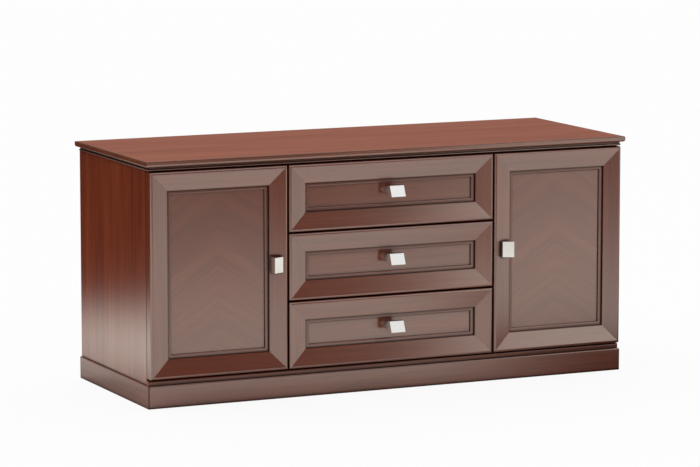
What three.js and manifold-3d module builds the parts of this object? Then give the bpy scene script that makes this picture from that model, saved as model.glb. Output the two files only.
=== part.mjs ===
// Office credenza: a panel case with a moulded top, a plinth, two framed doors and three framed drawers.
// Millimetres, +Z up, +X to the right, fronts towards -Y, origin on the floor under the middle of the box.

import * as THREE from "three";
import { mergeVertices } from "three/addons/utils/BufferGeometryUtils.js";
import Module from "manifold-3d";

const wasm = await Module();
wasm.setup();

// Fits
const SEAM = 0.2; // hairline between two pieces that meet face to face
const SEAT_GAP = 0.3; // clearance of a piece in its bore or on a sloping seat

// Top and its moulded edge
const TOP_WIDTH = 1600;
const TOP_DEPTH = 598;
const TOP_HEIGHT = 738;
const NOSING_HEIGHT = 17;
const NOSING_UPPER_RADIUS = 3;
const NOSING_LOWER_RADIUS = 7;
const QUIRK_HEIGHT = 5.5;
const QUIRK_DEPTH = 2.5;
const BEAD_HEIGHT = 6.5;
const BEAD_INSET = 10.5;

// Plinth
const PLINTH_HEIGHT = 68;
const PLINTH_THICKNESS = 25;
const PLINTH_EASING = 3;
const PLINTH_SIDE_INSET = 7;
const PLINTH_FRONT_INSET = 12.5;
const PLINTH_BACK_INSET = 10.5;

// Case
const SIDE_INSET = 12.5;
const SIDE_THICKNESS = 25;
const PARTITION_THICKNESS = 22;
const BASE_THICKNESS = 16;
const BASE_FRONT_INSET = 20;
const BASE_PROUD = 2.5;
const BASE_EASING = 5;
const BACK_THICKNESS = 10;
const BACK_RECESS = 8;
const BACK_REBATE = 10;
const SHELF_THICKNESS = 18;
const SHELF_SETBACK = 30;
const SHELF_RISE = 300;

// Doors and drawer fronts
const DOOR_WIDTH = 442;
const DRAWER_COUNT = 3;
const FRONT_INSET = 2;
const FRONT_THICKNESS = 36;
const FRONT_TO_CASE = 2;
const FRONT_GAP = 3;
const FRONT_FOOT = 4;
const FRAME_WIDTH = 58;
const FRAME_ROUNDING = 8;
const BEVEL_DROP = 10;
const STEP_DROP = 5.5;
const LIP_WIDTH = 12;
const LIP_HEIGHT = 5.5;
const LIP_ROUNDING = 3;
const REBATE_LIP = 10;
const PANEL_RECESS = 5;

// Wedge knobs
const KNOB_LENGTH = 48;
const KNOB_WIDTH = 33;
const KNOB_THIN = 17;
const KNOB_SLOPE = 14;
const KNOB_EASING = 1;
const DOOR_KNOB_REACH = 27;
const DOOR_KNOB_FROM_EDGE = 39;
const DOOR_KNOB_RISE = 13;
const DRAWER_KNOB_REACH = 43.5;
const DRAWER_KNOB_HEADROOM = 6;
const POST_WIDTH = 38;
const POST_HEIGHT = 22;

// Cup hinges
const HINGE_FROM_END = 100;
const CUP_DIAMETER = 35;
const CUP_DEPTH = 11.5;
const CUP_WALL = 1.8;
const CUP_FROM_EDGE = 24;
const FLANGE_LENGTH = 52;
const FLANGE_WIDTH = 18;
const FLANGE_THICKNESS = 1.2;
const PLATE_LENGTH = 52;
const PLATE_WIDTH = 18;
const PLATE_THICKNESS = 3;
const PLATE_SETBACK = 37;
const ARM_LENGTH = 66;
const ARM_HEIGHT = 14;
const ARM_BEND = 10;
const ARM_DEPTH = 9;
const ARM_REAR_DEPTH = 5;
const ARM_TIP_LIFT = 2.5;
const ARM_TIP_DEPTH = 7.5;
const ARM_REACH = 1.5;

// Drawer boxes
const DRAWER_SIDE_THICKNESS = 14;
const DRAWER_BACK_THICKNESS = 14;
const DRAWER_BOTTOM_THICKNESS = 6;
const DRAWER_BOTTOM_RISE = 12;
const DRAWER_GROOVE_DEPTH = 7;
const DRAWER_RISE = 24;
const DRAWER_SIDE_DROP = 50;
const DRAWER_REAR_ROOM = 79;

// Ball-bearing slides
const SLIDE_SPACE = 13;
const SLIDE_HEIGHT = 45;
const SLIDE_DEPTH = 9.5;
const SLIDE_SHEET = 1.2;
const SLIDE_LIP = 5;
const SLIDE_SETBACK = 3;
const RUNNER_CLEARANCE = 0.3;
const RUNNER_DEPTH = 9.3;
const RUNNER_HOOK = 2.5;

const CURVE_STEPS = 4;
const ROUND_STEPS = 32;

// Planes that the pieces share
const CASE_TOP = TOP_HEIGHT - NOSING_HEIGHT - QUIRK_HEIGHT - BEAD_HEIGHT;
const CASE_HALF_WIDTH = TOP_WIDTH / 2 - SIDE_INSET;
const CASE_BACK = TOP_DEPTH / 2 - PLINTH_BACK_INSET;
const FRONT_BACK = -TOP_DEPTH / 2 + FRONT_INSET + FRONT_THICKNESS;
const CASE_FRONT = FRONT_BACK + FRONT_TO_CASE;
const BASE_TOP = PLINTH_HEIGHT + BASE_THICKNESS;
const FRONTS_LOW = BASE_TOP + FRONT_FOOT;
const FRONTS_HIGH = CASE_TOP - FRONT_GAP;
const BACK_PANEL_REAR = CASE_BACK - BACK_RECESS;
const BACK_PANEL_FRONT = BACK_PANEL_REAR - BACK_THICKNESS;
const DRAWER_WIDTH = 2 * (CASE_HALF_WIDTH - DOOR_WIDTH - FRONT_GAP);
const DRAWER_HEIGHT = (FRONTS_HIGH - FRONTS_LOW - (DRAWER_COUNT - 1) * FRONT_GAP) / DRAWER_COUNT;
const PARTITION_CENTRE = DRAWER_WIDTH / 2 + FRONT_GAP / 2;
const BAY_HALF_WIDTH = PARTITION_CENTRE - PARTITION_THICKNESS / 2;
const SIDE_INNER = CASE_HALF_WIDTH - SIDE_THICKNESS;
const PANEL_SEAT = FRONT_THICKNESS - BEVEL_DROP - STEP_DROP - LIP_HEIGHT;
const REBATE_START = FRAME_WIDTH + LIP_WIDTH - REBATE_LIP;
const BEVEL_SLOPE = BEVEL_DROP / (FRAME_WIDTH - FRAME_ROUNDING);
const SLIDE_LENGTH = BACK_PANEL_FRONT - FRONT_BACK - DRAWER_REAR_ROOM;

// Finishes
const VENEER = { color: 0x5c2b1b, roughness: 0.22, metalness: 0 };
const CARCASS = { color: 0x6a4029, roughness: 0.45, metalness: 0 };
const DRAWER_WOOD = { color: 0xa98258, roughness: 0.5, metalness: 0 };
const CHROME = { color: 0xe9eaec, roughness: 0.08, metalness: 1 };
const STEEL = { color: 0xb4b8bb, roughness: 0.35, metalness: 1 };

const sides = [
  { name: "left", sign: -1 },
  { name: "right", sign: 1 },
];

// A geometry as a solid for joining and cutting, with the collapsed triangles of a turned form left out.
function solidOf(geometry) {
  const bare = geometry.clone();
  bare.deleteAttribute("normal");
  bare.deleteAttribute("uv");
  const merged = mergeVertices(bare, 1e-4);
  const corners = merged.index.array;
  const kept = [];
  for (let i = 0; i < corners.length; i += 3) {
    const [a, b, c] = corners.slice(i, i + 3);
    if (a !== b && b !== c && c !== a) kept.push(a, b, c);
  }
  const vertProperties = new Float32Array(merged.attributes.position.array);
  return new wasm.Manifold(new wasm.Mesh({ numProp: 3, vertProperties, triVerts: new Uint32Array(kept) }));
}

function geometryOf(solid) {
  const { vertProperties, triVerts } = solid.getMesh();
  const geometry = new THREE.BufferGeometry();
  geometry.setAttribute("position", new THREE.BufferAttribute(vertProperties, 3));
  geometry.setIndex(new THREE.BufferAttribute(triVerts, 1));
  return geometry;
}

function joined(...geometries) {
  return geometryOf(geometries.map(solidOf).reduce((whole, part) => whole.add(part)));
}

function cut(geometry, ...tools) {
  return geometryOf(tools.map(solidOf).reduce((whole, tool) => whole.subtract(tool), solidOf(geometry)));
}

function mesh(name, geometry, finish) {
  const piece = new THREE.Mesh(geometry, new THREE.MeshStandardMaterial(finish));
  piece.name = name;
  return piece;
}

// A box between two limits along each axis.
function block([x0, x1], [y0, y1], [z0, z1]) {
  const geometry = new THREE.BoxGeometry(Math.abs(x1 - x0), y1 - y0, z1 - z0);
  return geometry.translate((x0 + x1) / 2, (y0 + y1) / 2, (z0 + z1) / 2);
}

// Points along an arc from one angle to another, in degrees.
function arc(centre, radius, from, to, steps = CURVE_STEPS) {
  return Array.from({ length: steps + 1 }, (_, i) => {
    const angle = THREE.MathUtils.degToRad(from + ((to - from) * i) / steps);
    return [centre[0] + radius * Math.cos(angle), centre[1] + radius * Math.sin(angle)];
  });
}

function shapeOf(points) {
  return new THREE.Shape(points.map(([x, y]) => new THREE.Vector2(x, y)));
}

function extruded(points, depth) {
  return new THREE.ExtrudeGeometry(shapeOf(points), { depth, bevelEnabled: false });
}

// A section of (depth, height) points run along X between two limits.
function runAlongX(section, x0, x1) {
  const turn = new THREE.Matrix4().makeBasis(
    new THREE.Vector3(0, 1, 0),
    new THREE.Vector3(0, 0, 1),
    new THREE.Vector3(1, 0, 0),
  );
  return extruded(section, x1 - x0).applyMatrix4(turn).translate(x0, 0, 0);
}

// A section of (across, height) points run along Y between two limits.
function runAlongY(section, y0, y1) {
  return extruded(section, y1 - y0).rotateX(Math.PI / 2).translate(0, y1, 0);
}

// A mitred moulding: a four-sided turning of (inset, height) points, with its corners drawn apart.
function mitred(outline, width, depth) {
  const profile = outline.map(([inset, height]) => {
    const reach = inset === Infinity ? 0 : (depth / 2 - inset) * Math.SQRT2;
    return new THREE.Vector2(reach, height);
  });
  const geometry = new THREE.LatheGeometry(profile, 4, Math.PI / 4).rotateX(Math.PI / 2);
  const position = geometry.attributes.position;
  for (let i = 0; i < position.count; i += 1) {
    const x = position.getX(i);
    const spread = Math.abs(x) < 1e-6 ? 0 : (Math.sign(x) * (width - depth)) / 2;
    position.setX(i, x + spread);
  }
  return geometryOf(solidOf(geometry));
}

// Top: a rounded nosing over a quirk and a bead, worked round all four edges.
function topPanel() {
  const quirkLow = CASE_TOP + BEAD_HEIGHT;
  const nosingLow = quirkLow + QUIRK_HEIGHT;
  const quirkInset = BEAD_INSET + QUIRK_DEPTH;
  const beadRadius = BEAD_HEIGHT / 2;
  const beadCentre = [BEAD_INSET + beadRadius, CASE_TOP + beadRadius];
  const outline = [
    [Infinity, CASE_TOP],
    ...arc(beadCentre, beadRadius, 270, 90, 2 * CURVE_STEPS),
    [quirkInset, quirkLow],
    [quirkInset, nosingLow],
    ...arc([NOSING_LOWER_RADIUS, nosingLow + NOSING_LOWER_RADIUS], NOSING_LOWER_RADIUS, 270, 180),
    ...arc([NOSING_UPPER_RADIUS, TOP_HEIGHT - NOSING_UPPER_RADIUS], NOSING_UPPER_RADIUS, 180, 90),
    [Infinity, TOP_HEIGHT],
  ];
  return mesh("top_panel", mitred(outline, TOP_WIDTH, TOP_DEPTH), VENEER);
}

// Plinth: four boards mitred at the corners, with the top outer edge eased.
function plinth() {
  const front = -TOP_DEPTH / 2 + PLINTH_FRONT_INSET;
  const width = TOP_WIDTH - 2 * PLINTH_SIDE_INSET;
  const depth = CASE_BACK - front;
  const section = [
    [PLINTH_THICKNESS, 0],
    [PLINTH_THICKNESS, PLINTH_HEIGHT],
    ...arc([PLINTH_EASING, PLINTH_HEIGHT - PLINTH_EASING], PLINTH_EASING, 90, 180),
    [0, 0],
  ];
  const boards = [
    { name: "front", length: width, span: depth, turn: 0 },
    { name: "right", length: depth, span: width, turn: Math.PI / 2 },
    { name: "back", length: width, span: depth, turn: Math.PI },
    { name: "left", length: depth, span: width, turn: -Math.PI / 2 },
  ];
  return boards.map(({ name, length, span, turn }) => {
    const board = runAlongX(section, -length / 2, length / 2);
    const position = board.attributes.position;
    for (let i = 0; i < position.count; i += 1) {
      const x = position.getX(i);
      position.setX(i, x - Math.sign(x) * (position.getY(i) + SEAM));
    }
    board.translate(0, -span / 2, 0).rotateZ(turn).translate(0, (front + CASE_BACK) / 2, 0);
    return mesh(`plinth_${name}`, board, VENEER);
  });
}

// Side panel, standing on the plinth, with a rebate for the back panel.
function sidePanel({ name, sign }) {
  const rebate = SIDE_INNER + BACK_REBATE;
  const rebateFront = BACK_PANEL_FRONT - SEAM;
  const plan = [
    [CASE_HALF_WIDTH, CASE_FRONT],
    [CASE_HALF_WIDTH, CASE_BACK],
    [rebate, CASE_BACK],
    [rebate, rebateFront],
    [SIDE_INNER, rebateFront],
    [SIDE_INNER, CASE_FRONT],
  ].map(([x, y]) => [sign * x, y]);
  const low = PLINTH_HEIGHT + SEAM;
  const board = extruded(plan, CASE_TOP - SEAM - low).translate(0, 0, low);
  return mesh(`${name}_side_panel`, board, VENEER);
}

function partition({ name, sign }) {
  const centre = sign * PARTITION_CENTRE;
  const half = PARTITION_THICKNESS / 2;
  const board = block(
    [centre - half, centre + half],
    [CASE_FRONT, BACK_PANEL_FRONT - SEAM],
    [BASE_TOP + SEAM, CASE_TOP - SEAM],
  );
  return mesh(`${name}_partition`, board, CARCASS);
}

// Base panel: let in between the sides, with a full-width rounded strip in front of them.
function basePanel() {
  const front = -TOP_DEPTH / 2 + BASE_FRONT_INSET;
  const rear = BACK_PANEL_FRONT - SEAM;
  const low = PLINTH_HEIGHT + SEAM;
  const halfWidth = CASE_HALF_WIDTH + BASE_PROUD;
  const section = [
    [front, low],
    [rear, low],
    [rear, BASE_TOP],
    ...arc([front + BASE_EASING, BASE_TOP - BASE_EASING], BASE_EASING, 90, 180),
  ];
  const notches = sides.map(({ sign }) =>
    block(
      [sign * (SIDE_INNER - SEAM), sign * (halfWidth + 1)],
      [CASE_FRONT - SEAM, rear + 1],
      [low - 1, BASE_TOP + 1],
    ),
  );
  const board = cut(runAlongX(section, -halfWidth, halfWidth), ...notches);
  return mesh("base_panel", board, VENEER);
}

function backPanel() {
  const half = SIDE_INNER + BACK_REBATE - SEAM;
  const board = block(
    [-half, half],
    [BACK_PANEL_FRONT, BACK_PANEL_REAR],
    [PLINTH_HEIGHT + SEAM, CASE_TOP - SEAM],
  );
  return mesh("back_panel", board, CARCASS);
}

function shelf({ name, sign }) {
  const inner = PARTITION_CENTRE + PARTITION_THICKNESS / 2 + SEAM;
  const low = BASE_TOP + SHELF_RISE;
  const board = block(
    [sign * inner, sign * (SIDE_INNER - SEAM)],
    [CASE_FRONT + SHELF_SETBACK, BACK_PANEL_FRONT - SEAM],
    [low, low + SHELF_THICKNESS],
  );
  return mesh(`${name}_shelf`, board, CARCASS);
}

const hinges = [
  { level: "upper", height: FRONTS_HIGH - HINGE_FROM_END },
  { level: "lower", height: FRONTS_LOW + HINGE_FROM_END },
];

// Hinge arm on its mounting plate; the points are (behind the case front, off the side).
function hingeArm({ name, sign }, { level, height }) {
  const tip = -FRONT_TO_CASE - ARM_REACH;
  const rear = tip + ARM_LENGTH;
  const outline = [
    [tip, ARM_TIP_LIFT],
    [ARM_BEND, ARM_TIP_LIFT],
    [2 * ARM_BEND, SEAM],
    [rear, SEAM],
    [rear, PLATE_THICKNESS + ARM_REAR_DEPTH],
    [2 * ARM_BEND, PLATE_THICKNESS + ARM_DEPTH],
    [0, ARM_TIP_LIFT + ARM_TIP_DEPTH],
    [tip, ARM_TIP_LIFT + ARM_TIP_DEPTH],
  ].map(([behind, off]) => [sign * (SIDE_INNER - off), CASE_FRONT + behind]);
  const arm = extruded(outline, ARM_HEIGHT).translate(0, 0, height - ARM_HEIGHT / 2);
  const plate = block(
    [sign * (SIDE_INNER - SEAM), sign * (SIDE_INNER - PLATE_THICKNESS)],
    [CASE_FRONT + PLATE_SETBACK - PLATE_WIDTH / 2, CASE_FRONT + PLATE_SETBACK + PLATE_WIDTH / 2],
    [height - PLATE_LENGTH / 2, height + PLATE_LENGTH / 2],
  );
  return mesh(`${name}_${level}_hinge_arm`, joined(arm, plate), STEEL);
}

function disc(radius, x, [y0, y1], z) {
  const geometry = new THREE.CylinderGeometry(radius, radius, y1 - y0, ROUND_STEPS);
  return geometry.translate(x, (y0 + y1) / 2, z);
}

function cupCentre(sign) {
  return sign * (CASE_HALF_WIDTH - CUP_FROM_EDGE);
}

// Hinge cup sunk in the back of a door stile, with its flange on the back face.
function hingeCup({ name, sign }, { level, height }) {
  const x = cupCentre(sign);
  const face = FRONT_BACK + SEAM + FLANGE_THICKNESS;
  const end = FLANGE_WIDTH / 2;
  const run = FLANGE_LENGTH / 2 - end;
  const stadium = [...arc([0, run], end, 0, 180, 8), ...arc([0, -run], end, 180, 360, 8)];
  const flange = runAlongY(stadium, FRONT_BACK + SEAM, face).translate(x, 0, height);
  const cup = disc(CUP_DIAMETER / 2, x, [FRONT_BACK - CUP_DEPTH, face], height);
  const hollow = disc(CUP_DIAMETER / 2 - CUP_WALL, x, [FRONT_BACK - CUP_DEPTH + CUP_WALL, face + 1], height);
  return mesh(`${name}_door_${level}_hinge_cup`, cut(joined(cup, flange), hollow), STEEL);
}

function cupBore(sign, height) {
  const depth = CUP_DEPTH + SEAT_GAP;
  return disc(CUP_DIAMETER / 2 + SEAT_GAP, cupCentre(sign), [FRONT_BACK - depth, FRONT_BACK + 1], height);
}

// Front frame: rounded edge, bevel falling to the inner arris, step, rounded lip and panel rebate.
function frontFrame(width, height) {
  const lipTop = PANEL_SEAT + LIP_HEIGHT;
  const lipEnd = FRAME_WIDTH + LIP_WIDTH;
  const outline = [
    [0, 0],
    [REBATE_START, 0],
    [REBATE_START, PANEL_SEAT],
    [lipEnd, PANEL_SEAT],
    ...arc([lipEnd - LIP_ROUNDING, lipTop - LIP_ROUNDING], LIP_ROUNDING, 0, 90),
    [FRAME_WIDTH, lipTop],
    [FRAME_WIDTH, FRONT_THICKNESS - BEVEL_DROP],
    ...arc([FRAME_ROUNDING, FRONT_THICKNESS - FRAME_ROUNDING], FRAME_ROUNDING, 90, 180, 2 * CURVE_STEPS),
    [0, 0],
  ].reverse();
  return mitred(outline, width, height).rotateX(Math.PI / 2);
}

// Flat panel that fills a front frame from behind.
function frontPanel(width, height) {
  const halfWidth = width / 2 - REBATE_START - SEAT_GAP;
  const halfHeight = height / 2 - REBATE_START - SEAT_GAP;
  return block([-halfWidth, halfWidth], [SEAM - PANEL_SEAT, -PANEL_RECESS], [-halfHeight, halfHeight]);
}

// Wedge head of a knob: (across, off the fronts' plane) points, sloping up from one long edge to the other.
function wedgeHead(seat, reach) {
  const half = KNOB_WIDTH / 2;
  const wedge = shapeOf([
    [-half, seat(-half)],
    [half, seat(half)],
    [half, reach],
    [-half, reach - KNOB_SLOPE],
  ]);
  const depth = KNOB_LENGTH - 2 * KNOB_EASING;
  const geometry = new THREE.ExtrudeGeometry(wedge, {
    depth,
    bevelThickness: KNOB_EASING,
    bevelSize: KNOB_EASING,
    bevelOffset: -KNOB_EASING,
    bevelSegments: 2,
  });
  return geometry.translate(0, 0, -depth / 2).rotateX(Math.PI);
}

// Door knob: a head cut to the slope of the bevel, with its proud edge to the hinges.
function doorKnob(sign) {
  const seat = (across) => SEAT_GAP - (DOOR_KNOB_FROM_EDGE + across - FRAME_ROUNDING) * BEVEL_SLOPE;
  const knob = wedgeHead(seat, DOOR_KNOB_REACH);
  return sign < 0 ? knob.rotateY(Math.PI) : knob;
}

// Drawer knob: a head with its proud edge down, on an oblong post that carries it clear of the frame.
function drawerKnob() {
  const back = DRAWER_KNOB_REACH - KNOB_SLOPE - KNOB_THIN;
  const head = wedgeHead(() => back, DRAWER_KNOB_REACH).rotateY(Math.PI / 2);
  const end = POST_HEIGHT / 2;
  const run = POST_WIDTH / 2 - end;
  const oblong = [...arc([run, 0], end, -90, 90, 8), ...arc([-run, 0], end, 90, 270, 8)];
  const post = runAlongY(oblong, -back - KNOB_EASING, FRONT_THICKNESS - PANEL_SEAT);
  return joined(head, post);
}

// Door: framed front, flat panel, knob, and two hinge cups.
function door({ name, sign }) {
  const height = FRONTS_HIGH - FRONTS_LOW;
  const middle = (FRONTS_HIGH + FRONTS_LOW) / 2;
  const freeEdge = sign * (CASE_HALF_WIDTH - DOOR_WIDTH);
  const x = sign * (CASE_HALF_WIDTH - DOOR_WIDTH / 2);
  const frame = frontFrame(DOOR_WIDTH, height).translate(x, FRONT_BACK, middle);
  const bores = hinges.map((hinge) => cupBore(sign, hinge.height));
  const panel = frontPanel(DOOR_WIDTH, height).translate(x, FRONT_BACK, middle);
  const knob = doorKnob(sign);
  knob.translate(freeEdge + sign * DOOR_KNOB_FROM_EDGE, FRONT_BACK - FRONT_THICKNESS, middle + DOOR_KNOB_RISE);
  return [
    mesh(`${name}_door_frame`, cut(frame, ...bores), VENEER),
    mesh(`${name}_door_panel`, panel, VENEER),
    mesh(`${name}_door_knob`, knob, CHROME),
    ...hinges.map((hinge) => hingeCup({ name, sign }, hinge)),
  ];
}

const drawers = Array.from({ length: DRAWER_COUNT }, (_, i) => {
  const low = FRONTS_LOW + i * (DRAWER_HEIGHT + FRONT_GAP);
  return {
    name: `drawer_${DRAWER_COUNT - i}`,
    middle: low + DRAWER_HEIGHT / 2,
    boxLow: low + DRAWER_RISE,
    boxHigh: low + DRAWER_HEIGHT - DRAWER_SIDE_DROP,
  };
});

const BOX_FRONT = FRONT_BACK + SEAM;
const BOX_REAR = BOX_FRONT + SLIDE_LENGTH;
const BOX_HALF_WIDTH = BAY_HALF_WIDTH - SLIDE_SPACE;
const BOX_INNER = BOX_HALF_WIDTH - DRAWER_SIDE_THICKNESS;

// Cabinet member of a slide: an open channel with returned lips, fixed to the partition.
function cabinetRunner(drawer, { name, sign }) {
  const half = SLIDE_HEIGHT / 2;
  const section = channel(SLIDE_DEPTH, half, half - SLIDE_LIP, half - SLIDE_SHEET);
  const centre = (drawer.boxLow + drawer.boxHigh) / 2;
  const points = section.map(([off, up]) => [sign * (BAY_HALF_WIDTH - off), centre + up]);
  const start = CASE_FRONT + SLIDE_SETBACK;
  return mesh(`${drawer.name}_${name}_cabinet_runner`, runAlongY(points, start, start + SLIDE_LENGTH), STEEL);
}

// Drawer member of a slide: a narrower channel whose outward hooks run behind the cabinet lips.
function drawerRunner(drawer, { name, sign }) {
  const half = SLIDE_HEIGHT / 2 - SLIDE_LIP - RUNNER_CLEARANCE;
  const section = channel(RUNNER_DEPTH, half, half + RUNNER_HOOK, half - SLIDE_SHEET);
  const centre = (drawer.boxLow + drawer.boxHigh) / 2;
  const points = section.map(([off, up]) => [sign * (BOX_HALF_WIDTH + off), centre + up]);
  const start = FRONT_BACK + SLIDE_SETBACK;
  return mesh(`${drawer.name}_${name}_runner`, runAlongY(points, start, BOX_REAR), STEEL);
}

// Section of a sheet channel as (off the wall, up) points: web, two flanges, and lips turned in or out.
function channel(depth, half, lip, inside) {
  const web = SEAM + SLIDE_SHEET;
  const lipBack = depth - SLIDE_SHEET;
  const turnedIn = lip < inside;
  const upper = turnedIn
    ? [[web, inside], [lipBack, inside], [lipBack, lip], [depth, lip], [depth, half], [SEAM, half]]
    : [[web, inside], [depth, inside], [depth, lip], [lipBack, lip], [lipBack, half], [SEAM, half]];
  const lower = upper.map(([off, up]) => [off, -up]).reverse();
  return [...upper, ...lower];
}

function drawerSide(drawer, { name, sign }) {
  const grooveLow = drawer.boxLow + DRAWER_BOTTOM_RISE;
  const grooveHigh = grooveLow + DRAWER_BOTTOM_THICKNESS + 2 * SEAM;
  const section = [
    [BOX_HALF_WIDTH, drawer.boxLow],
    [BOX_HALF_WIDTH, drawer.boxHigh],
    [BOX_INNER, drawer.boxHigh],
    [BOX_INNER, grooveHigh],
    [BOX_INNER + DRAWER_GROOVE_DEPTH, grooveHigh],
    [BOX_INNER + DRAWER_GROOVE_DEPTH, grooveLow],
    [BOX_INNER, grooveLow],
    [BOX_INNER, drawer.boxLow],
  ].map(([x, z]) => [sign * x, z]);
  return mesh(`${drawer.name}_${name}_side`, runAlongY(section, BOX_FRONT, BOX_REAR), DRAWER_WOOD);
}

// Drawer: framed front, knob, and a box whose bottom runs in side grooves and under the back.
function drawerPieces(drawer) {
  const { name, middle, boxLow, boxHigh } = drawer;
  const frame = frontFrame(DRAWER_WIDTH, DRAWER_HEIGHT).translate(0, FRONT_BACK, middle);
  const panel = frontPanel(DRAWER_WIDTH, DRAWER_HEIGHT).translate(0, FRONT_BACK, middle);
  const panelHigh = middle + DRAWER_HEIGHT / 2 - FRAME_WIDTH - LIP_WIDTH;
  const knobMiddle = panelHigh - DRAWER_KNOB_HEADROOM - KNOB_WIDTH / 2;
  const knob = drawerKnob().translate(0, FRONT_BACK - FRONT_THICKNESS, knobMiddle);
  const bottomLow = boxLow + DRAWER_BOTTOM_RISE + SEAM;
  const bottomHigh = bottomLow + DRAWER_BOTTOM_THICKNESS;
  const bottomHalf = BOX_INNER + DRAWER_GROOVE_DEPTH - SEAM;
  const bottom = block([-bottomHalf, bottomHalf], [BOX_FRONT, BOX_REAR], [bottomLow, bottomHigh]);
  const backHalf = BOX_INNER - SEAM;
  const back = block(
    [-backHalf, backHalf],
    [BOX_REAR - DRAWER_BACK_THICKNESS, BOX_REAR],
    [bottomHigh + SEAM, boxHigh],
  );
  return [
    mesh(`${name}_frame`, frame, VENEER),
    mesh(`${name}_panel`, panel, VENEER),
    mesh(`${name}_knob`, knob, CHROME),
    mesh(`${name}_bottom`, bottom, DRAWER_WOOD),
    mesh(`${name}_back`, back, DRAWER_WOOD),
    ...sides.map((side) => drawerSide(drawer, side)),
    ...sides.map((side) => drawerRunner(drawer, side)),
  ];
}

const credenza = new THREE.Group();
credenza.name = "credenza";
credenza.add(topPanel(), ...plinth(), basePanel(), backPanel());
for (const side of sides) {
  credenza.add(sidePanel(side), partition(side), shelf(side));
  credenza.add(...hinges.map((hinge) => hingeArm(side, hinge)));
  credenza.add(...door(side));
}
for (const drawer of drawers) {
  credenza.add(...sides.map((side) => cabinetRunner(drawer, side)));
  credenza.add(...drawerPieces(drawer));
}

// The knobs stand forward of the top, so the box's middle is found from the finished pieces.
const extent = new THREE.Box3().setFromObject(credenza);
credenza.position.y = -(extent.min.y + extent.max.y) / 2;

export default credenza;
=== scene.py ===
import math

import bmesh
import bpy
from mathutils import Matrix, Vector


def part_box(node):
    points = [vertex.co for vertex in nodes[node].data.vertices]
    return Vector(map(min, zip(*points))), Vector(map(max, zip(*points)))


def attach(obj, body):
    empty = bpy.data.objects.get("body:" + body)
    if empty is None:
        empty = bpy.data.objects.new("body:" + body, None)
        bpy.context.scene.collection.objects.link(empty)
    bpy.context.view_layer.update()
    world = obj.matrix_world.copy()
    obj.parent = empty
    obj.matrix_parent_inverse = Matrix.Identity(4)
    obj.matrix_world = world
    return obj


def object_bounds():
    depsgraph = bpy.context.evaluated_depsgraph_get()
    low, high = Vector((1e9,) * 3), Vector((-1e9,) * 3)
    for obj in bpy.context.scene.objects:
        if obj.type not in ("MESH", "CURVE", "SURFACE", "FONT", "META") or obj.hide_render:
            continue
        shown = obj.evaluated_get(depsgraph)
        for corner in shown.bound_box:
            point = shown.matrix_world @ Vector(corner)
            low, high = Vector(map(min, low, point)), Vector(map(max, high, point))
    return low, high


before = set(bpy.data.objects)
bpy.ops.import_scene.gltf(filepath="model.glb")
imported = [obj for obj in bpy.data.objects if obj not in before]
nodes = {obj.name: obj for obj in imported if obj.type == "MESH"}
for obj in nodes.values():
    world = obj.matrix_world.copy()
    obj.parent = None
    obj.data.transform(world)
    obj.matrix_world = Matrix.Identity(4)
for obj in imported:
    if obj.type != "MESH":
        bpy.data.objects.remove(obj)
cad_low, cad_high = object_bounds()

DRAWERS = ("drawer_1", "drawer_2", "drawer_3")


# Shader building: most helpers add nodes to a tree and return the new output

NOISE_ROUGHNESS = 0.55
OCCLUSION_SAMPLES = 4


def put(tree, socket, value):
    """Sets a socket to a value, or links it to another socket."""
    if isinstance(value, bpy.types.NodeSocket):
        tree.links.new(value, socket)
    else:
        socket.default_value = value


def math_node(tree, operation, a, b=0.0, clamp=False):
    node = tree.nodes.new("ShaderNodeMath")
    node.operation = operation
    node.use_clamp = clamp
    put(tree, node.inputs[0], a)
    put(tree, node.inputs[1], b)
    return node.outputs[0]


def add(tree, a, b):
    return math_node(tree, "ADD", a, b)


def subtract(tree, a, b, clamp=False):
    return math_node(tree, "SUBTRACT", a, b, clamp)


def multiply(tree, a, b):
    return math_node(tree, "MULTIPLY", a, b)


def larger(tree, a, b):
    return math_node(tree, "MAXIMUM", a, b)


def weighted(tree, a, share_a, b, share_b):
    """Sum of two values, each times its share."""
    return add(tree, multiply(tree, a, share_a), multiply(tree, b, share_b))


def away_from(tree, value, centre):
    return math_node(tree, "ABSOLUTE", subtract(tree, value, centre))


def remap(tree, value, span, to_low, to_high, smooth=False):
    """Turns a span of the value into another range, held level outside it."""
    node = tree.nodes.new("ShaderNodeMapRange")
    node.interpolation_type = "SMOOTHSTEP" if smooth else "LINEAR"
    put(tree, node.inputs["Value"], value)
    node.inputs["From Min"].default_value = span[0]
    node.inputs["From Max"].default_value = span[1]
    node.inputs["To Min"].default_value = to_low
    node.inputs["To Max"].default_value = to_high
    return node.outputs["Result"]


def rising(tree, value, span):
    """0 below the span, rising smoothly to 1 above it."""
    return remap(tree, value, span, 0.0, 1.0, True)


def fading(tree, value, span):
    """1 below the span, falling smoothly to 0 above it."""
    return remap(tree, value, span, 1.0, 0.0, True)


def coordinates(tree, kind):
    """X, Y and Z of one kind of texture coordinate."""
    split = tree.nodes.new("ShaderNodeSeparateXYZ")
    put(tree, split.inputs[0], tree.nodes.new("ShaderNodeTexCoord").outputs[kind])
    return split.outputs


def noise(tree, place, scales, detail, waviness=0.0):
    """Noise at a place given by three coordinates, each with its own scale."""
    vector = tree.nodes.new("ShaderNodeCombineXYZ")
    for socket, value, scale in zip(vector.inputs, place, scales):
        put(tree, socket, multiply(tree, value, scale))
    node = tree.nodes.new("ShaderNodeTexNoise")
    put(tree, node.inputs["Vector"], vector.outputs[0])
    node.inputs["Scale"].default_value = 1.0
    node.inputs["Detail"].default_value = detail
    node.inputs["Roughness"].default_value = NOISE_ROUGHNESS
    node.inputs["Distortion"].default_value = waviness
    return node.outputs["Fac"]


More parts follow.
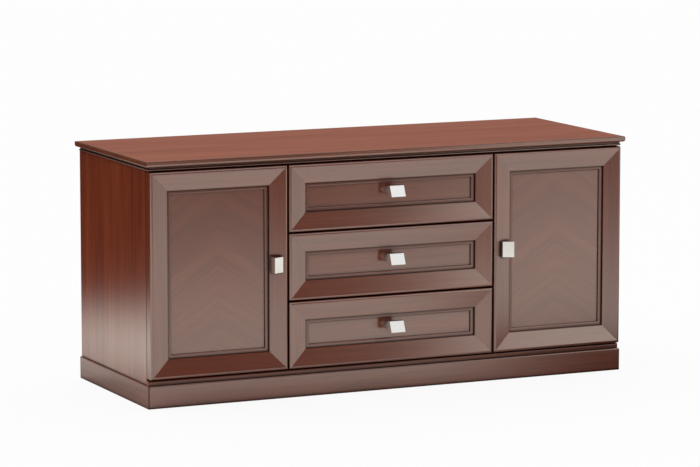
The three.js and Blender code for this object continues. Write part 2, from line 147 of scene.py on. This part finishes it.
def occlusion(tree, reach, inside=False):
    """How open the surroundings are within a reach: 1 in the open, less in a recess.

    Looking inside the solid instead, it is less near an edge."""
    node = tree.nodes.new("ShaderNodeAmbientOcclusion")
    node.samples = OCCLUSION_SAMPLES
    node.inside = inside
    node.inputs["Distance"].default_value = reach
    return node.outputs["AO"]


def ramp(tree, value, stops):
    node = tree.nodes.new("ShaderNodeValToRGB")
    put(tree, node.inputs[0], value)
    elements = node.color_ramp.elements
    while len(elements) < len(stops):
        elements.new(0.5)
    for element, (place, colour) in zip(elements, stops):
        element.position = place
        element.color = (*colour, 1.0)
    return node.outputs[0]


def mix_colour(tree, factor, base, colour):
    """Lays a plain colour over another output, as far as the factor says."""
    node = tree.nodes.new("ShaderNodeMix")
    node.data_type = "RGBA"
    put(tree, node.inputs["Factor"], factor)
    put(tree, node.inputs["A"], base)
    put(tree, node.inputs["B"], (*colour, 1.0))
    return node.outputs["Result"]


def mix_shaders(tree, factor, a, b):
    node = tree.nodes.new("ShaderNodeMixShader")
    for socket, value in zip(node.inputs, (factor, a, b)):
        put(tree, socket, value)
    return node.outputs[0]


def emission(tree, colour, strength):
    node = tree.nodes.new("ShaderNodeEmission")
    put(tree, node.inputs["Color"], (*colour, 1.0))
    put(tree, node.inputs["Strength"], strength)
    return node.outputs[0]


def srgb(red, green, blue):
    """Linear colour from screen values of 0 to 255."""
    def linear(value):
        value /= 255.0
        return value / 12.92 if value <= 0.04045 else ((value + 0.055) / 1.055) ** 2.4
    return linear(red), linear(green), linear(blue)


def shaded(colour, share):
    """The colour at a share of its brightness."""
    return [part * share for part in colour]


def start(name):
    """A new material, its node tree, its main shader and the place on the object."""
    material = bpy.data.materials.new(name)
    material.use_nodes = True
    tree = material.node_tree
    return material, tree, tree.nodes["Principled BSDF"], coordinates(tree, "Object")


# Wood: the dark, middle and light tone of each kind

VENEER = (srgb(104, 38, 17), srgb(141, 61, 31), srgb(165, 83, 45))
SIDE_VENEER = (srgb(120, 43, 18), srgb(160, 67, 32), srgb(184, 90, 47))
TOP_VENEER = (srgb(116, 53, 29), srgb(148, 73, 42), srgb(170, 95, 59))
CARCASS = (srgb(88, 48, 30), srgb(112, 66, 43), srgb(132, 84, 58))
BIRCH = (srgb(172, 132, 88), srgb(196, 156, 110), srgb(214, 178, 134))

# Grain: cycles to the metre along it and across it, then detail and waviness
BROAD_STREAK = (1.1, 14.0, 4.0, 0.6)
FINE_STREAK = (3.0, 110.0, 4.0, 0.0)
PORE_STREAK = (26.0, 900.0, 2.0, 0.0)
BROAD_SHARE = 0.55
FINE_SHARE = 0.45
TONE_PLACES = (0.32, 0.5, 0.68)
PORE_SPAN = (0.56, 0.72)
PORE_COVER = 0.35
PORE_SHADE = 0.45
PORE_BUMP = 0.06
PORE_DEPTH = 0.0003
STREAK_SPAN = (0.3, 0.7)
STREAK_ROUGHER = 0.07
STREAK_SMOOTHER = 0.05

# Painted shade in recesses, and darker edges: how far the surface looks for others, and the openness over
# which the dark fades
SEAM_REACH = 0.008
SEAM_OPENNESS = (0.68, 0.95)
SEAM_PAINTED_SHADE = 0.98
CORNER_REACH = 0.03
CORNER_OPENNESS = (0.3, 0.62)
CORNER_PAINTED_SHADE = 0.95
PAINTED_SHADE_TONE = 0.22
EDGE_REACH = 0.0035
EDGE_OPENNESS = (0.5, 0.92)
EDGE_SHADE = 0.6
EDGE_BARENESS = 0.8


def grained(tree, shader, place, tones, roughness, contrast, painted_shade=0.0, dull=0.0, seam_shade_depth=SEAM_PAINTED_SHADE):
    """Wood from three scales of streak along the first coordinate, with painted shade in the recesses and
    darker sharp edges.

    Returns how much of its coat the surface keeps."""
    def streaks(along, across, detail, waviness):
        return noise(tree, place, (along, across, across), detail, waviness)

    broad = streaks(*BROAD_STREAK)
    fine = streaks(*FINE_STREAK)
    pores = streaks(*PORE_STREAK)
    streak = weighted(tree, broad, BROAD_SHARE, fine, FINE_SHARE)
    softened = [
        [centre + (part - centre) * contrast for part, centre in zip(tone, tones[1])]
        for tone in tones
    ]
    colour = ramp(tree, streak, list(zip(TONE_PLACES, softened)))
    pore = remap(tree, pores, PORE_SPAN, 0.0, PORE_COVER * contrast)
    colour = mix_colour(tree, pore, colour, shaded(tones[0], PORE_SHADE))

    # Painted shade: darker in the seams and recesses, and in a soft ring where a part such as a knob
    # stands close
    seam_shade = remap(tree, occlusion(tree, SEAM_REACH), SEAM_OPENNESS, seam_shade_depth, 0.0)
    corner = remap(tree, occlusion(tree, CORNER_REACH), CORNER_OPENNESS, CORNER_PAINTED_SHADE, 0.0)
    recess_shade = larger(tree, larger(tree, seam_shade, painted_shade), corner)
    colour = mix_colour(tree, recess_shade, colour, shaded(tones[0], PAINTED_SHADE_TONE))
    # Darker along the sharp edges, in streaks, with a thinner coat there
    near_edge = remap(tree, occlusion(tree, EDGE_REACH, True), EDGE_OPENNESS, 1.0, 0.0)
    dark_edge = multiply(tree, near_edge, broad)
    colour = mix_colour(tree, dark_edge, colour, shaded(tones[0], EDGE_SHADE))
    put(tree, shader.inputs["Base Color"], colour)

    rough = remap(tree, fine, STREAK_SPAN, roughness + STREAK_ROUGHER, roughness - STREAK_SMOOTHER)
    put(tree, shader.inputs["Roughness"], rough)
    bump = tree.nodes.new("ShaderNodeBump")
    bump.inputs["Strength"].default_value = PORE_BUMP
    bump.inputs["Distance"].default_value = PORE_DEPTH
    put(tree, bump.inputs["Height"], pores)
    put(tree, shader.inputs["Normal"], bump.outputs[0])

    # The coat thins where the painted shade lies and along the sharp edges
    bare = larger(tree, recess_shade, multiply(tree, near_edge, EDGE_BARENESS))
    return subtract(tree, 1.0, larger(tree, bare, dull))


BASE_SPECULAR = 0.3
COAT_ROUGHNESS = 0.19
COAT_IOR = 2.2


def lacquer(tree, shader, cover, weight=1.0):
    """Glossy coat, thin in the recesses and along the sharp edges."""
    put(tree, shader.inputs["Coat Weight"], multiply(tree, cover, weight))
    shader.inputs["Specular IOR Level"].default_value = BASE_SPECULAR
    shader.inputs["Coat Roughness"].default_value = COAT_ROUGHNESS
    shader.inputs["Coat IOR"].default_value = COAT_IOR


# Boards: a nosed one turns from its flat top over shoulders with painted shade to an upright edge

VENEER_ROUGHNESS = 0.34
BOARD_CONTRAST = 0.7
TOP_FACING = (0.9, 0.98)
TOP_COAT = 0.15
SHOULDER_FACING = (0.1, 0.4)
SHOULDER_PAINTED_SHADE = 0.85


def board(
    name, axis, tones=VENEER, roughness=VENEER_ROUGHNESS, contrast=BOARD_CONTRAST,
    coat=1.0, nosed=False, seam_shade_depth=SEAM_PAINTED_SHADE,
):
    """Solid or veneered board with its grain along an axis; coat None leaves it without lacquer."""
    material, tree, shader, (x, y, z) = start(name)
    place = {"X": (x, z, y), "Y": (y, z, x), "Z": (z, x, y)}[axis]
    painted_shade = 0.0
    if nosed:
        up = coordinates(tree, "Normal")["Z"]
        coat = remap(tree, up, TOP_FACING, 1.0, TOP_COAT)
        # Painted shade on the rounded shoulders between the flat top and the upright edge
        shoulder = remap(tree, up, SHOULDER_FACING, 0.0, SHOULDER_PAINTED_SHADE)
        painted_shade = multiply(tree, shoulder, remap(tree, up, TOP_FACING, 1.0, 0.0))
    cover = grained(tree, shader, place, tones, roughness, contrast, painted_shade, seam_shade_depth=seam_shade_depth)
    if coat is not None:
        lacquer(tree, shader, cover, coat)
    return material


# Fronts: mitred frames whose bevel ends in a step and a flat lip, and chevron panels in the doors

FRONT_CONTRAST = 0.6
STILE_GRAIN_SHIFT = 0.37
RIM_WIDTH = 0.01
WALL_FACING = (0.2, 0.6)
WALL_PAINTED_SHADE = 0.95
LIP_START = 0.0578
LIP_FACING = 0.3
LIP_PAINTED_SHADE = 0.1
LIP_DULLNESS = 0.25
PANEL_ROUGHNESS = 0.36
DOOR_PANEL_SEAM_SHADE = 0.12
DRAWER_PANEL_SEAM_SHADE = 0.25
CHEVRON_SLOPE = math.radians(33)
CHEVRON_WAVES = (9.0, 0.0, 7.0)
CHEVRON_WAVE_DETAIL = 2.0
CHEVRON_WAVE_HEIGHT = 0.03


def framed(name, node):
    """Veneer of a mitred frame: upright grain on the stiles and level grain on the rails, with painted
    shade on the inner walls of the step and a little on the lip.
    """
    low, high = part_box(node)
    middle = (low + high) / 2
    half = (high - low) / 2
    material, tree, shader, (x, y, z) = start(name)
    from_side = subtract(tree, half.x, away_from(tree, x, middle.x))
    from_end = subtract(tree, half.z, away_from(tree, z, middle.z))
    stile = math_node(tree, "LESS_THAN", from_side, from_end)
    rail = subtract(tree, 1.0, stile)
    along = weighted(tree, z, stile, x, rail)
    across = weighted(tree, x, stile, z, rail)
    depth = add(tree, y, multiply(tree, stile, STILE_GRAIN_SHIFT))

    outward = coordinates(tree, "Normal")["Y"]
    inset = math_node(tree, "MINIMUM", from_side, from_end)
    # Painted shade: dark on the inner walls of the step, and a little darker on the lip behind it
    wall = remap(tree, math_node(tree, "ABSOLUTE", outward), WALL_FACING, WALL_PAINTED_SHADE, 0.0)
    inner_wall = multiply(tree, wall, math_node(tree, "GREATER_THAN", inset, RIM_WIDTH))
    past_step = math_node(tree, "GREATER_THAN", inset, LIP_START)
    lip = multiply(tree, past_step, math_node(tree, "LESS_THAN", outward, LIP_FACING))
    painted_shade = larger(tree, inner_wall, multiply(tree, lip, LIP_PAINTED_SHADE))
    dull = multiply(tree, lip, LIP_DULLNESS)

    place = (along, across, depth)
    cover = grained(tree, shader, place, VENEER, VENEER_ROUGHNESS, FRONT_CONTRAST, painted_shade, dull)
    lacquer(tree, shader, cover)
    return material


def chevron(name, node):
    """Book-matched veneer: grain falls away from the centre line to both sides."""
    low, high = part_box(node)
    middle = (low + high) / 2
    material, tree, shader, (x, y, z) = start(name)
    away = away_from(tree, x, middle.x)
    run = math.cos(CHEVRON_SLOPE)
    fall = math.sin(CHEVRON_SLOPE)
    along = weighted(tree, away, run, z, -fall)
    level = weighted(tree, away, fall, z, run)
    wave = noise(tree, (x, y, z), CHEVRON_WAVES, CHEVRON_WAVE_DETAIL)
    across = add(tree, level, multiply(tree, wave, CHEVRON_WAVE_HEIGHT))
    place = (along, across, y)
    cover = grained(tree, shader, place, VENEER, PANEL_ROUGHNESS, FRONT_CONTRAST, seam_shade_depth=DOOR_PANEL_SEAM_SHADE)
    lacquer(tree, shader, cover)
    return material


# Metal: brushed, with painted shade on the rims and where a front or a wall is near

BRUSH_DEPTHWISE = 30.0
BRUSH_DETAIL = 3.0
BRUSH_SHADE = 0.93
BRUSH_SMOOTHER = 0.8
BRUSH_ROUGHER = 1.25
RIM_REACH = 0.0015
RIM_DIMNESS = 0.6
SHELTER_REACH = 0.04
SHELTER_DIMNESS = 0.8
DIM_OPENNESS = (0.5, 0.9)
DIM_SHADE = 0.3


def metal(name, colour, roughness, brushing):
    material, tree, shader, place = start(name)
    streak = noise(tree, place, (brushing, BRUSH_DEPTHWISE, brushing), BRUSH_DETAIL)
    tone = ramp(tree, streak, list(zip(STREAK_SPAN, (shaded(colour, BRUSH_SHADE), colour))))
    # Painted shade for the dark these parts reflect: darker rims, and darker where a front or a wall is
    # near
    rim_shade = remap(tree, occlusion(tree, RIM_REACH, True), DIM_OPENNESS, RIM_DIMNESS, 0.0)
    shelter_shade = remap(tree, occlusion(tree, SHELTER_REACH), DIM_OPENNESS, SHELTER_DIMNESS, 0.0)
    tone = mix_colour(tree, larger(tree, rim_shade, shelter_shade), tone, shaded(colour, DIM_SHADE))
    rough = remap(tree, streak, STREAK_SPAN, roughness * BRUSH_SMOOTHER, roughness * BRUSH_ROUGHER)
    put(tree, shader.inputs["Base Color"], tone)
    put(tree, shader.inputs["Roughness"], rough)
    shader.inputs["Metallic"].default_value = 1.0
    return material


# Finishes of the CAD nodes

BASE_COAT = 0.35
CARCASS_FINISH = {"tones": CARCASS, "roughness": 0.42, "contrast": 1.0, "coat": None}
BIRCH_FINISH = {"tones": BIRCH, "roughness": 0.45, "contrast": 1.0, "coat": None}

veneer_x = board("veneer_level", "X")
veneer_y = board("veneer_deep", "Y")
veneer_z = board("veneer_upright", "Z", tones=SIDE_VENEER, contrast=1.0)
veneer_panel = board("veneer_panel", "X", seam_shade_depth=DRAWER_PANEL_SEAM_SHADE)
veneer_base = board("veneer_base", "X", coat=BASE_COAT)
veneer_top = board("veneer_top", "X", tones=TOP_VENEER, nosed=True)
carcass_x = board("carcass_level", "X", **CARCASS_FINISH)
carcass_z = board("carcass_upright", "Z", **CARCASS_FINISH)
birch_x = board("birch_level", "X", **BIRCH_FINISH)
birch_y = board("birch_deep", "Y", **BIRCH_FINISH)
chrome = metal("chrome", colour=(0.9, 0.895, 0.88), roughness=0.18, brushing=260.0)
zinc = metal("zinc", colour=(0.62, 0.64, 0.66), roughness=0.3, brushing=900.0)


def finish_of(name):
    if name.endswith("door_panel"):
        return chevron(name + "_veneer", name)
    if name.endswith("_frame"):
        return framed(name + "_veneer", name)
    if name.endswith("knob"):
        return chrome
    if "hinge" in name or "runner" in name:
        return zinc
    if name == "top_panel":
        return veneer_top
    if name == "base_panel":
        return veneer_base
    if name.endswith("side_panel"):
        return veneer_z
    if name in ("plinth_left", "plinth_right"):
        return veneer_y
    if name.endswith("partition"):
        return carcass_z
    if name.endswith("shelf") or name == "back_panel":
        return carcass_x
    if name.startswith("drawer") and name.endswith("panel"):
        return veneer_panel
    if name.startswith("drawer") and name.endswith(("_side", "bottom")):
        return birch_y
    if name.startswith("drawer"):
        return birch_x
    return veneer_x


for name, obj in nodes.items():
    obj.data.materials.clear()
    obj.data.materials.append(finish_of(name))


def place_object(name, data):
    obj = bpy.data.objects.new(name, data)
    bpy.context.scene.collection.objects.link(obj)
    return obj


# Fasteners: turned heads and pins of bright zinc

TURN_STEPS = 16
SCREW_RADIUS = 0.0036
SCREW_HEIGHT = 0.0016
FLUSH_HEIGHT = 0.0004
CROSS_ARM = 0.56
CROSS_WAIST = 0.2
PIN_RADIUS = 0.0025
PIN_LENGTH = 0.012
PIN_COLLAR = 0.0016
PIN_FROM_END = 0.05
PLATE_FACE = 0.0028
PLATE_FROM_TIP = 0.0405
PLATE_SCREW_PITCH = 0.018
ARM_SCREW_FROM_TIP = 0.0485
ARM_SCREW_FACE = 0.00945
ARM_SLOPE = 0.094
CUP_SCREW_PITCH = 0.02175
RUNNER_WEB = 0.0014
RUNNER_SCREW_FROM_END = 0.06


def turned(form, origin, facing, rings):
    """Adds a closed turned form.

    Each ring is a height on the axis and a radius, or a list with a radius for each step."""
    axis = Vector(facing).normalized()
    side = axis.orthogonal().normalized()
    over = axis.cross(side)
    loops = []
    for height, radius in rings:
        radii = radius if isinstance(radius, list) else [radius] * TURN_STEPS
        loops.append([
            form.verts.new(
                Vector(origin) + axis * height
                + side * (r * math.cos(math.tau * step / TURN_STEPS))
                + over * (r * math.sin(math.tau * step / TURN_STEPS))
            )
            for step, r in enumerate(radii)
        ])
    for below, above in zip(loops, loops[1:]):
        for i in range(TURN_STEPS):
            j = (i + 1) % TURN_STEPS
            form.faces.new((below[i], below[j], above[j], above[i]))
    form.faces.new(loops[0][::-1])
    form.faces.new(loops[-1])


def screw_rings(height=SCREW_HEIGHT):
    """Pan head with a cross recess of four arms."""
    r = SCREW_RADIUS
    quarter = TURN_STEPS // 4
    cross = [r * (CROSS_ARM if step % quarter == 0 else CROSS_WAIST) for step in range(TURN_STEPS)]
    return [
        (0.0, r), (0.4 * height, r), (0.8 * height, 0.86 * r), (height, 0.68 * r),
        (height, cross), (0.3 * height, [0.85 * c for c in cross]),
    ]


def pin_rings():
    """Shelf pin: a collar on the wall and a round-ended peg."""
    r, length = PIN_RADIUS, PIN_LENGTH
    return [
        (0.0, 1.5 * r), (0.5 * PIN_COLLAR, 1.6 * r), (PIN_COLLAR, 1.5 * r), (PIN_COLLAR, r),
        (length - 0.6 * r, r), (length - 0.2 * r, 0.8 * r), (length, 0.4 * r),
    ]


def fasten(name, body, places, rings):
    """One piece for a group of fasteners on a body; a place is a point and the direction it faces."""
    form = bmesh.new()
    for origin, facing in places:
        turned(form, origin, facing, rings)
    mesh = bpy.data.meshes.new(name)
    form.to_mesh(mesh)
    form.free()
    mesh.materials.append(zinc)
    piece = place_object(name, mesh)
    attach(piece, body)


def fasten_hinges(side, inward):
    """Two screws in each plate, one set in its sloping arm, and two flush in the flange of its cup."""
    for level in ("upper", "lower"):
        arm = side + "_" + level + "_hinge_arm"
        low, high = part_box(arm)
        wall = low.x if inward > 0 else high.x
        middle = (low.z + high.z) / 2
        plate_x = wall + inward * PLATE_FACE
        plate_y = low.y + PLATE_FROM_TIP
        screws = [
            ((plate_x, plate_y, middle + end * PLATE_SCREW_PITCH), (inward, 0, 0))
            for end in (-1, 1)
        ]
        setting = (wall + inward * ARM_SCREW_FACE, low.y + ARM_SCREW_FROM_TIP, middle)
        screws.append((setting, (inward, ARM_SLOPE, 0)))
        fasten(arm + "_screws", "case", screws, screw_rings())
        cup = side + "_door_" + level + "_hinge_cup"
        low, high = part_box(cup)
        x = (low.x + high.x) / 2
        middle = (low.z + high.z) / 2
        flange = [((x, high.y, middle + end * CUP_SCREW_PITCH), (0, 1, 0)) for end in (-1, 1)]
        fasten(cup + "_screws", side + "_door", flange, screw_rings(FLUSH_HEIGHT))


def fasten_shelf(side):
    """Four pins under the shelf, two in each wall."""
    low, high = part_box(side + "_shelf")
    z = low.z - PIN_RADIUS
    pins = []
    for y in (low.y + PIN_FROM_END, high.y - PIN_FROM_END):
        pins.append(((low.x, y, z), (1, 0, 0)))
        pins.append(((high.x, y, z), (-1, 0, 0)))
    fasten(side + "_shelf_pins", "case", pins, pin_rings())


def fasten_slide(drawer, side, inward):
    """Three screws along the cabinet member and three along the drawer member."""
    for kind, body, away in (("cabinet_runner", "case", inward), ("runner", drawer, -inward)):
        runner = drawer + "_" + side + "_" + kind
        low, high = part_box(runner)
        web = (low.x if away > 0 else high.x) + away * RUNNER_WEB
        middle = (low.z + high.z) / 2
        rows = (low.y + RUNNER_SCREW_FROM_END, (low.y + high.y) / 2, high.y - RUNNER_SCREW_FROM_END)
        screws = [((web, y, middle), (away, 0, 0)) for y in rows]
        fasten(runner + "_screws", body, screws, screw_rings())


def fasten_knob(front, carrier):
    """One screw through the back of what carries the knob."""
    low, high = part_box(front + "_knob")
    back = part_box(front + carrier)[1].y
    place = ((low.x + high.x) / 2, back, (low.z + high.z) / 2)
    fasten(front + "_knob_screw", front, [(place, (0, 1, 0))], screw_rings())


for side, inward in (("left", 1), ("right", -1)):
    fasten_hinges(side, inward)
    fasten_shelf(side)
    fasten_knob(side + "_door", "_frame")
    for drawer in DRAWERS:
        fasten_slide(drawer, side, inward)
for drawer in DRAWERS:
    fasten_knob(drawer, "_panel")


# Stage: a pale floor with a painted pool of light, a white surround, soft lamps and the camera

GLOW_TINT = (0.99, 0.97, 0.87)

FLOOR_REACH = 60.0
FLOOR_DARK = 0.05
FLOOR_PALE = 0.6
FLOOR_SEEN = 0.75
SEEN_WHITENESS = 0.92
FLOOR_GLOW = 1.3
MIRRORED_SHARE = 0.8
CONTACT_REACH = 0.42
CONTACT_OPENNESS = (0.35, 1.0)

POOL_SLANT_X = -0.42
POOL_SLANT_Y = 0.9
POOL_BACK = (1.15, 2.5)
POOL_FRONT = (2.0, 4.0)
POOL_RIGHT = (1.0, 2.4)
POOL_RIGHT_REACH = 1.5
POOL_LEFT = (-0.6, -0.2)
POOL_LEFT_REACH = 1.3
POOL_LEVEL_X = (-1.1, -0.7)
POOL_LEVEL_LEFT = 1.2
POOL_LEVEL_RIGHT = 0.88
BAND_X = 0.92
BAND_HALF_WIDTH = (0.15, 0.4)
BAND_AHEAD = (2.8, 3.4)
BAND_LEVEL = 0.8
SHADE_RIGHT = (0.2, 0.9)
SHADE_AHEAD = (0.55, 1.2)
SHADE_RIGHT_DEPTH = 0.85
SHADE_LEFT = (0.1, 0.7)
SHADE_LEFT_DEPTH = 0.45

SKY_BACK = (-0.1, 0.3)
SKY_FRONT_LEVEL = 0.05
SKY_BACK_LEVEL = 0.125
CEILING_HEIGHT = (0.38, 0.56)
CEILING_LEVEL = 1.05
CEILING_BACK = (-0.2, 0.4)
CEILING_FRONT_SHARE = 0.55
CEILING_BACK_SHARE = 1.3
SKY_CORNER = (-0.25, 0.0)
SKY_CORNER_LEVEL = 0.85

SOFTBOX_LEFT = 1.98
SOFTBOX_WIDTH = 3.4
SOFTBOX_HEIGHT = 2.0
SOFTBOX_FOOT = 0.3
SOFTBOX_AHEAD = 3.9
SOFTBOX_GLOW = 1.45
OVERHEAD_HEIGHT = 4
OVERHEAD_LEVEL = 0.4
OVERHEAD_TILT = math.radians(-25)
OVERHEAD_SPREAD = math.radians(90)

CAMERA_PLACE = (-4.5647, -9.8552, 1.9913)
CAMERA_DIP = math.radians(8.1056)
CAMERA_TURN = math.radians(-24.7808)
SENSOR_WIDTH = 36.0
LENS = 182.073
SIGHT_LIMIT = 200.0


def light_path(tree):
    return tree.nodes.new("ShaderNodeLightPath").outputs


def light_pool(tree, x, y):
    """Brightness of the painted pool of light on the floor: it fades to the back left and to the front,
    with a far band ahead.

    It carries a painted shadow beside the left end and one in front of the right end."""
    ahead = multiply(tree, y, -1.0)
    right_reach = remap(tree, x, POOL_RIGHT, 0.0, POOL_RIGHT_REACH)
    left_reach = remap(tree, x, POOL_LEFT, POOL_LEFT_REACH, 0.0)
    to_front = subtract(tree, ahead, add(tree, right_reach, left_reach))
    to_back = weighted(tree, x, POOL_SLANT_X, y, POOL_SLANT_Y)
    band = fading(tree, away_from(tree, x, BAND_X), BAND_HALF_WIDTH)
    far_band = multiply(tree, band, rising(tree, ahead, BAND_AHEAD))
    front = larger(tree, fading(tree, to_front, POOL_FRONT), multiply(tree, far_band, BAND_LEVEL))
    pool = multiply(tree, fading(tree, to_back, POOL_BACK), front)

    right_shade = multiply(tree, rising(tree, x, SHADE_RIGHT), fading(tree, ahead, SHADE_AHEAD))
    beside = subtract(tree, cad_low.x, x)
    outside = math_node(tree, "GREATER_THAN", beside, 0.0)
    left_shade = multiply(tree, fading(tree, beside, SHADE_LEFT), outside)
    shades = weighted(tree, right_shade, SHADE_RIGHT_DEPTH, left_shade, SHADE_LEFT_DEPTH)
    level = remap(tree, x, POOL_LEVEL_X, POOL_LEVEL_LEFT, POOL_LEVEL_RIGHT)
    return multiply(tree, pool, subtract(tree, level, shades, True))


def build_floor():
    """Matt floor, nearly white to the camera; in reflections it glows with its painted pool of light,
    dimmed by a painted contact shadow near the cabinet.
    """
    mesh = bpy.data.meshes.new("floor")
    corners = [(-1, -1), (1, -1), (1, 1), (-1, 1)]
    mesh.from_pydata([(x * FLOOR_REACH, y * FLOOR_REACH, 0) for x, y in corners], [], [(0, 1, 2, 3)])
    floor = place_object("floor", mesh)
    material, tree, shader, (x, y, _) = start("floor")
    tree.nodes.remove(shader)
    mesh.materials.append(material)
    path = light_path(tree)
    pool = light_pool(tree, x, y)
    # The floor's own colour follows the painted pool too, pale within it and dark beyond
    tone = ramp(tree, pool, [(0.0, [FLOOR_DARK] * 3), (1.0, [FLOOR_PALE] * 3)])
    matt = tree.nodes.new("ShaderNodeBsdfDiffuse")
    put(tree, matt.inputs["Color"], mix_colour(tree, path["Is Camera Ray"], tone, [FLOOR_SEEN] * 3))
    # Painted contact shadow: the glow fades close to the cabinet
    open_glow = remap(tree, occlusion(tree, CONTACT_REACH), CONTACT_OPENNESS, 0.0, FLOOR_GLOW)
    white = emission(tree, (1, 1, 1), 1.0)
    bright = emission(tree, GLOW_TINT, multiply(tree, pool, open_glow))
    whiteness = multiply(tree, path["Is Camera Ray"], SEEN_WHITENESS)
    seen = mix_shaders(tree, whiteness, matt.outputs[0], white)
    mirrored = multiply(tree, path["Is Glossy Ray"], MIRRORED_SHARE)
    surface = mix_shaders(tree, mirrored, seen, bright)
    put(tree, tree.nodes["Material Output"].inputs["Surface"], surface)


def build_world():
    """Soft light from above, white to the camera; reflections also show a pale corner at the front left.

    The sky is the faint light all round, and the ceiling the strong light above it."""
    world = bpy.data.worlds.new("studio")
    bpy.context.scene.world = world
    world.use_nodes = True
    tree = world.node_tree
    path = light_path(tree)
    across, back, up = coordinates(tree, "Generated")
    sky = remap(tree, back, SKY_BACK, SKY_FRONT_LEVEL, SKY_BACK_LEVEL)
    ceiling = remap(tree, up, CEILING_HEIGHT, 0.0, CEILING_LEVEL, True)
    share = remap(tree, back, CEILING_BACK, CEILING_FRONT_SHARE, CEILING_BACK_SHARE)
    balance = larger(tree, share, path["Is Glossy Ray"])
    above = larger(tree, sky, multiply(tree, ceiling, balance))
    corner = multiply(tree, fading(tree, across, SKY_CORNER), fading(tree, back, SKY_CORNER))
    mirrored = multiply(tree, multiply(tree, corner, SKY_CORNER_LEVEL), path["Is Glossy Ray"])
    seen = path["Is Camera Ray"]
    unseen = multiply(tree, larger(tree, above, mirrored), subtract(tree, 1.0, seen))
    background = tree.nodes["Background"]
    background.inputs["Color"].default_value = (1, 1, 1, 1)
    put(tree, background.inputs["Strength"], add(tree, unseen, seen))


def add_lamp(name, kind, location, rotation):
    lamp = place_object(name, bpy.data.lights.new(name, kind))
    lamp.location = location
    lamp.rotation_euler = rotation
    return lamp


def build_lamps():
    """A broad softbox at the front right, and a soft lamp overhead from behind."""
    softbox_place = (
        SOFTBOX_LEFT + SOFTBOX_WIDTH / 2,
        -SOFTBOX_AHEAD,
        SOFTBOX_FOOT + SOFTBOX_HEIGHT / 2,
    )
    softbox = add_lamp("softbox", "AREA", softbox_place, (math.radians(90), 0, 0)).data
    softbox.shape = "RECTANGLE"
    softbox.size = SOFTBOX_WIDTH
    softbox.size_y = SOFTBOX_HEIGHT
    softbox.color = GLOW_TINT
    softbox.energy = SOFTBOX_GLOW * math.pi * SOFTBOX_WIDTH * SOFTBOX_HEIGHT
    overhead = add_lamp("overhead", "SUN", (0, 0, OVERHEAD_HEIGHT), (OVERHEAD_TILT, 0, 0))
    overhead.visible_glossy = False
    overhead.data.energy = OVERHEAD_LEVEL * math.pi
    overhead.data.angle = OVERHEAD_SPREAD


def build_camera():
    """Camera at the photograph's viewing angle."""
    data = bpy.data.cameras.new("camera")
    data.sensor_width = SENSOR_WIDTH
    data.lens = LENS
    data.clip_end = SIGHT_LIMIT
    camera = place_object("camera", data)
    camera.location = CAMERA_PLACE
    camera.rotation_euler = (math.radians(90) - CAMERA_DIP, 0, CAMERA_TURN)
    bpy.context.scene.camera = camera


build_floor()
build_world()
build_lamps()
build_camera()
bpy.context.scene.view_settings.view_transform = "Standard"
